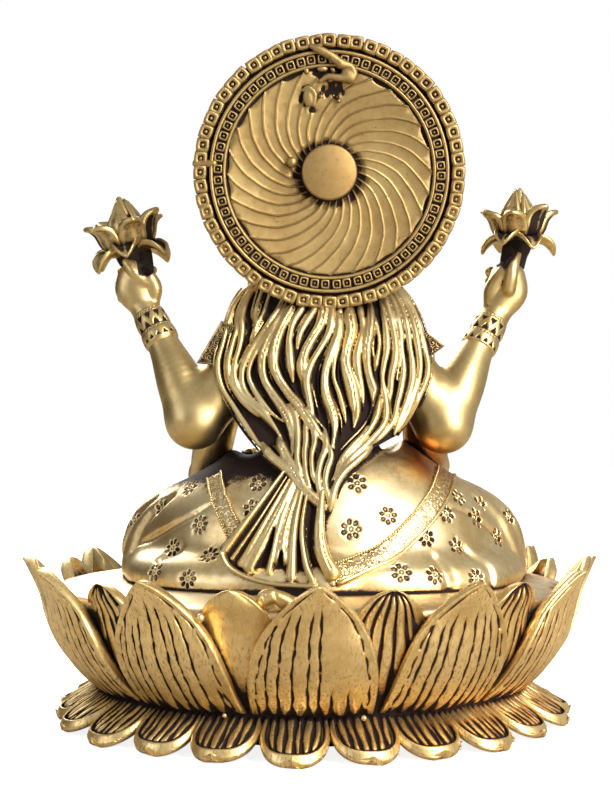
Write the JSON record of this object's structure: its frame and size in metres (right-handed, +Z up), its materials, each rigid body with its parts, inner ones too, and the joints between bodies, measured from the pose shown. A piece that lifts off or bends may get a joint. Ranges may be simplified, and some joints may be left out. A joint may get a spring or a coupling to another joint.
{
  "type": "seated lakshmi figure",
  "caption": "Small gilt four-armed Lakshmi seated cross-legged on a round double lotus plinth, a lotus in each raised hand and a round beaded halo behind the head, cast in one piece.",
  "frame": {"origin": "centre of the plinth's underside, on the ground", "axes": "+Z up, the figure faces -Y, +X is to the figure's left"},
  "size_m": [0.144, 0.144, 0.1611],
  "materials": {
    "gilt_brass": "satin pale gold with a dark brown wash in the hollows and rubbed bright edges"
  },
  "bodies": {
    "root": {"lakshmi_figure": "gilt_brass"}
  },
  "joints": []
}
